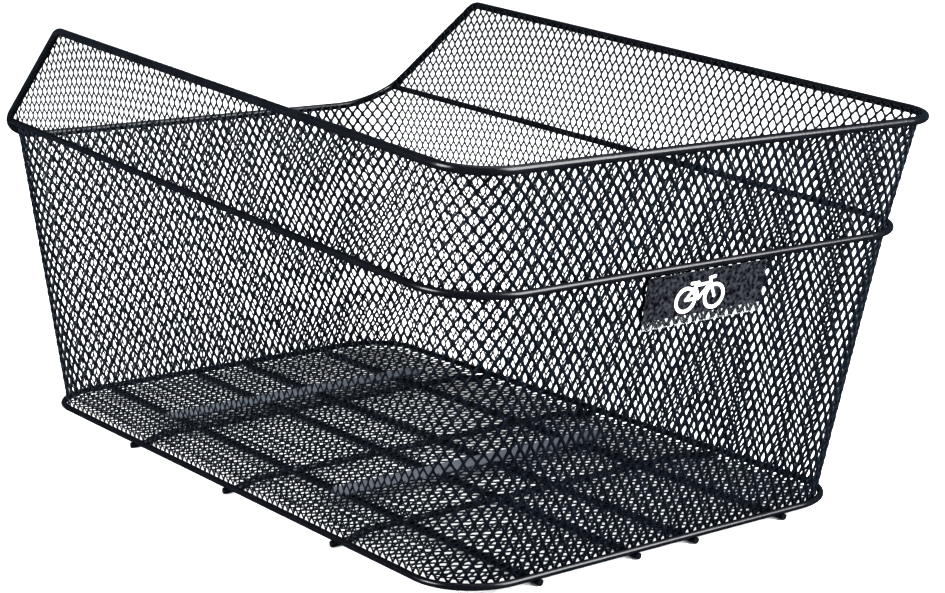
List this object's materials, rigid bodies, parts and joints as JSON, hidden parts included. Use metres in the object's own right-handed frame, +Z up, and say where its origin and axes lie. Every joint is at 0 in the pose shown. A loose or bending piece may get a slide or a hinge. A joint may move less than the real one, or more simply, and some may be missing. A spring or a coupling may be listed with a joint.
{
  "type": "rear rack basket",
  "caption": "Open-topped basket of black expanded steel mesh on a round-wire frame, with tall tapering walls, a lowered front end and a badge plate on the rear wall.",
  "frame": {"origin": "on the ground under the middle of the basket, the bottom centre of its box", "axes": "+X to the tall rear end with the badge, -X to the low front end under the saddle, +Z up, mirror plane at y = 0"},
  "size_m": [0.4398, 0.2606, 0.2101],
  "materials": {
    "wire_coating": "glossy black powder coat on steel wire",
    "strap_coating": null,
    "mesh_coating": "glossy black powder coat on expanded steel mesh",
    "badge_clear": "clear moulded plate",
    "badge_film": "dark marbled printed film under gloss",
    "badge_white": "white print",
    "badge_backing": "black moulded strip"
  },
  "bodies": {
    "root": {"rim_wire": "wire_coating", "band_wire": "wire_coating", "base_frame_wire": "wire_coating", "outer_rail_left": "wire_coating", "inner_rail_left": "wire_coating", "inner_rail_right": "wire_coating", "outer_rail_right": "wire_coating", "cross_wire_front": "wire_coating", "cross_wire_middle": "wire_coating", "cross_wire_rear": "wire_coating", "floor_strap_front": "strap_coating", "floor_strap_rear": "strap_coating", "floor_mesh": "mesh_coating", "side_mesh_left": "mesh_coating", "side_mesh_right": "mesh_coating", "rear_mesh": "mesh_coating", "front_mesh": "mesh_coating", "rear_corner_mesh_left": "mesh_coating", "rear_corner_mesh_right": "mesh_coating", "front_corner_mesh_left": "mesh_coating", "front_corner_mesh_right": "mesh_coating", "badge_plate": "badge_clear", "badge_film": "badge_film", "badge_emblem": "badge_white", "badge_backing": "badge_backing"}
  },
  "joints": []
}
